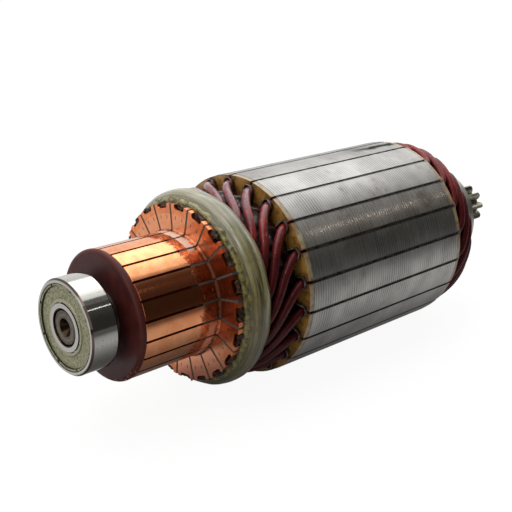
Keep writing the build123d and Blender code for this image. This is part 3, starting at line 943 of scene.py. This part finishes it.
bm = turned(BEAD_PROFILE, 252)
roughen(bm, amount=0.8, scale=0.75, seed=11)
add_piece("bonding_resin", close(bm, "bonding_resin"), make_bead(), "rotor")

# Crimped edge of the near shield: a flat spring ring with eight cuts

CRIMP_INNER, CRIMP_OUTER = 11.12, 11.66
CRIMP_FRONT, CRIMP_BACK = BEARING_FACE + 0.1, BEARING_FACE + 0.3
CRIMP_EDGE = 0.06
CRIMP_CUTS = 8
CRIMP_FIRST_CUT = -73
CRIMP_GAP = 3.5

bm = bmesh.new()
profile = [
    (CRIMP_INNER, CRIMP_BACK),
    (CRIMP_INNER, CRIMP_FRONT),
    (CRIMP_INNER + CRIMP_EDGE, CRIMP_FRONT - CRIMP_EDGE),
    (CRIMP_OUTER - CRIMP_EDGE, CRIMP_FRONT - CRIMP_EDGE),
    (CRIMP_OUTER, CRIMP_FRONT),
    (CRIMP_OUTER, CRIMP_BACK),
]
for index in range(CRIMP_CUTS):
    start = CRIMP_FIRST_CUT + CRIMP_GAP / 2 + index * 360 / CRIMP_CUTS
    corners = [rim_point(radius, start, station) for radius, station in profile]
    spun(bm, corners, (0, 0, 0), 360 / CRIMP_CUTS - CRIMP_GAP, 16, solid=True)
mend(bm)
crimp = close(bm, "near_crimp")
add_piece("near_crimp", crimp, finishes["shield_steel"], "commutator_bearing_outer")

# Floor: pale, with a soft shadow. The camera sees it white, and the metal sees it brighter
# close beside the armature than further away.

FLOOR_PAINT = (0.42, 0.42, 0.42, 1)
FLOOR_WHITE = 1.2
FLOOR_SEEN = 0.78

bm = bmesh.new()
bmesh.ops.create_grid(bm, x_segments=1, y_segments=1, size=4)
bmesh.ops.translate(bm, verts=bm.verts, vec=(0, 0, cad_box[0][2]))
floor_mesh = close(bm, "floor")
floor = bpy.data.objects.new("floor", floor_mesh)
bpy.context.scene.collection.objects.link(floor)

floor_finish = bpy.data.materials.new("pale_floor")
floor_finish.use_nodes = True
tree = floor_finish.node_tree
paint = tree.nodes["Principled BSDF"]
paint.inputs["Base Color"].default_value = FLOOR_PAINT
paint.inputs["Roughness"].default_value = 0.9
across, along, _ = separate(tree, coordinates(tree, "Object"))
left = stretch(tree, across, 0.0, -0.02, 0.0, 0.85)
aside = maths(tree, "ABSOLUTE", across)
right = product(
    tree,
    stretch(tree, aside, 0.01, 0.06, 0.1, 0.54),
    stretch(tree, aside, 0.19, 0.05, 0.07, 1.0),
    stretch(tree, along, 0.05, 0.19, 1.1, 2.1, smooth=False),
)
path = tree.nodes.new("ShaderNodeLightPath").outputs
glow = tree.nodes.new("ShaderNodeEmission")
strength = stretch(tree, path["Is Camera Ray"], 0.0, 1.0, maths(tree, "MAXIMUM", left, right), FLOOR_WHITE)
feed(tree, glow.inputs["Strength"], strength)
seen = maths(tree, "MAXIMUM", path["Is Camera Ray"], path["Is Glossy Ray"])
seen = maths(tree, "MAXIMUM", seen, path["Is Transmission Ray"])
mixer = tree.nodes.new("ShaderNodeMixShader")
feed(tree, mixer.inputs[0], maths(tree, "MULTIPLY", seen, FLOOR_SEEN))
feed(tree, mixer.inputs[1], paint.outputs[0])
feed(tree, mixer.inputs[2], glow.outputs[0])
feed(tree, tree.nodes["Material Output"].inputs[0], mixer.outputs[0])
floor_mesh.materials.append(floor_finish)

# Room: pale all round, dark behind the camera on its right, and bright in a patch on the left

ROOM_PALE = (0.6, 0.6, 0.6)
ROOM_BRIGHT = (1.05, 1.05, 1.05)
ROOM_DARK_LOW = (0.038, 0.036, 0.032)
ROOM_DARK_HIGH = (0.085, 0.078, 0.072)
BACKDROP = (1.0, 1.0, 1.0)

world = bpy.data.worlds.new("studio")
bpy.context.scene.world = world
world.use_nodes = True
tree = world.node_tree
sky = tree.nodes["Background"]
x, y, z = separate(tree, coordinates(tree, "Generated"))
dark_side = product(tree, stretch(tree, x, 0.06, 0.3), stretch(tree, y, -0.9, -0.55))
patch = product(tree, stretch(tree, x, -0.35, -0.6), stretch(tree, y, 0.3, 0.5), stretch(tree, y, 0.77, 0.68))
dark = blend_colour(tree, stretch(tree, z, 0.3, 0.75), ROOM_DARK_LOW, ROOM_DARK_HIGH)
room = blend_colour(tree, dark_side, blend_colour(tree, patch, ROOM_PALE, ROOM_BRIGHT), dark)
path = tree.nodes.new("ShaderNodeLightPath").outputs
feed(tree, sky.inputs["Color"], blend_colour(tree, path["Is Camera Ray"], room, BACKDROP))
sky.inputs["Strength"].default_value = 1

# Lamps, in metres and watts


def soft_lamp(name, place, aim_at, size, watts, colour=(1, 1, 1)):
    lamp = bpy.data.lights.new(name, "AREA")
    lamp.shape = "RECTANGLE"
    lamp.size, lamp.size_y = size
    lamp.energy = watts
    lamp.color = colour
    holder = bpy.data.objects.new(name, lamp)
    direction = Vector(aim_at) - Vector(place)
    holder.matrix_world = Matrix.Translation(place) @ direction.to_track_quat("-Z", "Y").to_matrix().to_4x4()
    bpy.context.scene.collection.objects.link(holder)


# The overhead light is a stack of panels, so that its edge in the metal is soft.
# Each has its middle across the shaft, its width and its power.
OVERHEAD_PANELS = [
    (-0.22, 1.16, 0.6),
    (-0.305, 0.99, 3.75),
    (-0.345, 0.75, 1.35),
    (-0.34, 0.62, 1.05),
    (-0.345, 0.47, 0.6),
]
OVERHEAD_HEIGHT = 0.65
OVERHEAD_SPACING = 0.01
OVERHEAD_ALONG = 0.45
OVERHEAD_LENGTH = 1.6
WARM = (1.0, 0.88, 0.76)

for level, (middle, width, watts) in enumerate(OVERHEAD_PANELS):
    place = (middle, OVERHEAD_ALONG, OVERHEAD_HEIGHT + OVERHEAD_SPACING * level)
    below = (middle, OVERHEAD_ALONG, 0)
    soft_lamp(f"overhead_{level + 1}", place, below, (width, OVERHEAD_LENGTH), watts)
soft_lamp("front", place=(-0.1, -0.8, 0.4), aim_at=(0, 0.05, 0), size=(0.5, 0.5), watts=0.8)
soft_lamp("near_slit", place=(0.565, 0.4995, 0.65), aim_at=(0, 0.4995, 0), size=(0.05, 0.014), watts=0.0105)
soft_lamp("far_slit", place=(0.565, 1.0, 0.65), aim_at=(0, 1.0, 0), size=(0.42, 0.026), watts=0.29, colour=WARM)
soft_lamp("window", place=(0.04, -0.42, 0.68), aim_at=(0, 0.05, 0), size=(0.34, 0.03), watts=0.5)

# Camera

LENS_LENGTH = 66.44
SENSOR_WIDTH = 36
CAMERA_PLACE = (0.190696, -0.121370, 0.104094)
CAMERA_RIGHT = (0.68462, 0.72793, 0.03760)
CAMERA_UP = (-0.28105, 0.21603, 0.93506)
CAMERA_BACK = (0.67254, -0.65073, 0.35249)

lens = bpy.data.cameras.new("camera")
lens.sensor_width = SENSOR_WIDTH
lens.lens = LENS_LENGTH
lens.clip_start = 0.01
camera = bpy.data.objects.new("camera", lens)
facing = Matrix((CAMERA_RIGHT, CAMERA_UP, CAMERA_BACK)).transposed()
camera.matrix_world = Matrix.Translation(CAMERA_PLACE) @ facing.to_4x4()
bpy.context.scene.collection.objects.link(camera)
bpy.context.scene.camera = camera
bpy.context.scene.view_settings.view_transform = "Standard"
